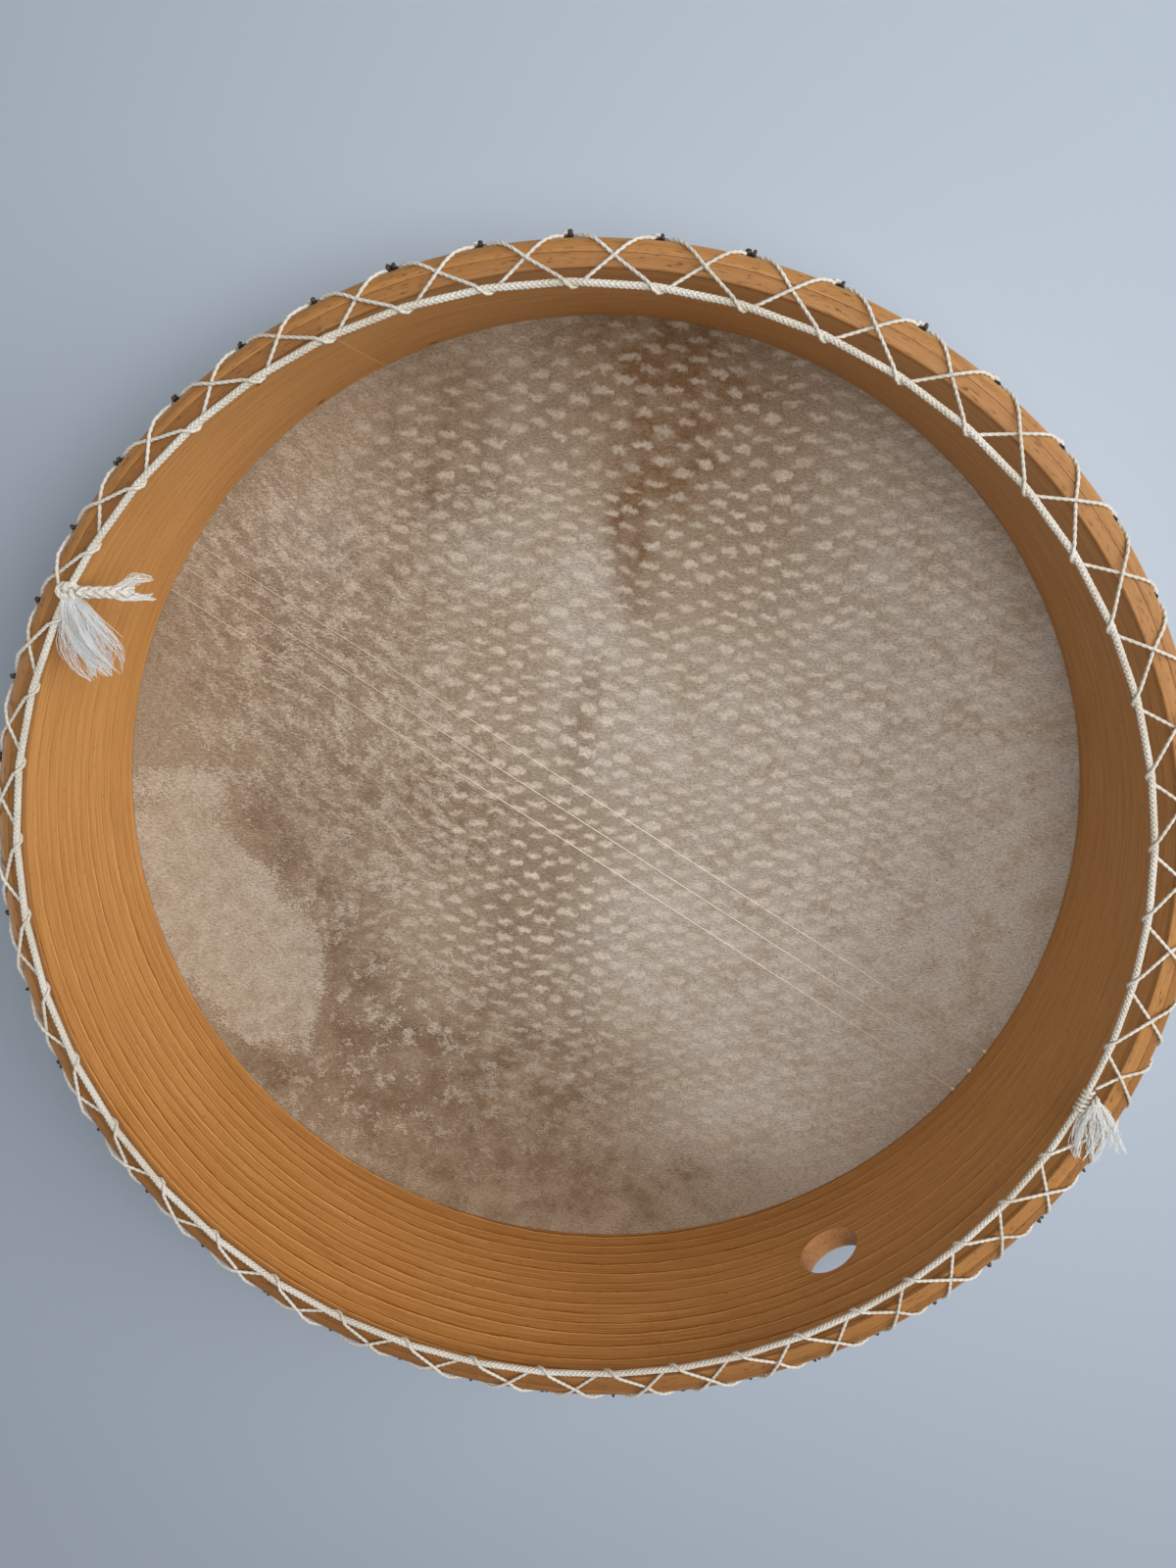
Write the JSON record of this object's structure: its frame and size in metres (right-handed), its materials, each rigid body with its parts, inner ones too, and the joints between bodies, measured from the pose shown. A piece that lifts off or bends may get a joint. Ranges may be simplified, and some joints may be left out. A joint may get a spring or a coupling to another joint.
{
  "type": "bendir frame drum",
  "caption": "Shallow round frame drum with a laced goatskin head, a two-ply bent wood hoop with a thumb hole, a cord ring behind the hoop and thin snares across the inside of the head.",
  "frame": {"origin": "on the drum's axis, on the playing face that the drum lies on", "axes": "+Z along the drum's axis, from the playing face towards the open back; -Y points from the axis to the thumb hole"},
  "size_m": [0.4107, 0.4103, 0.0973],
  "materials": {
    "beech": "bent beech, thin oil finish, worn bare along the rim",
    "goatskin": "scraped goatskin, matte, mottled brown and grey",
    "cotton_cord": "braided off-white cotton cord",
    "cotton_lace": "twisted off-white cotton string",
    "snare_line": "thin translucent nylon or gut line"
  },
  "bodies": {
    "root": {"hoop_inner_ply": "beech", "hoop_outer_ply": "beech", "drum_skin": "goatskin", "ring_cord": "cotton_cord", "ring_cord_knot": "cotton_cord", "ring_cord_braided_tail": "cotton_cord", "ring_cord_frayed_tail": "cotton_cord", "lacing_cord": "cotton_lace", "lacing_knot": "cotton_lace", "lacing_tuft_1": "cotton_lace", "lacing_tuft_2": "cotton_lace", "snare_1": "snare_line", "snare_2": "snare_line", "snare_3": "snare_line"}
  },
  "joints": []
}
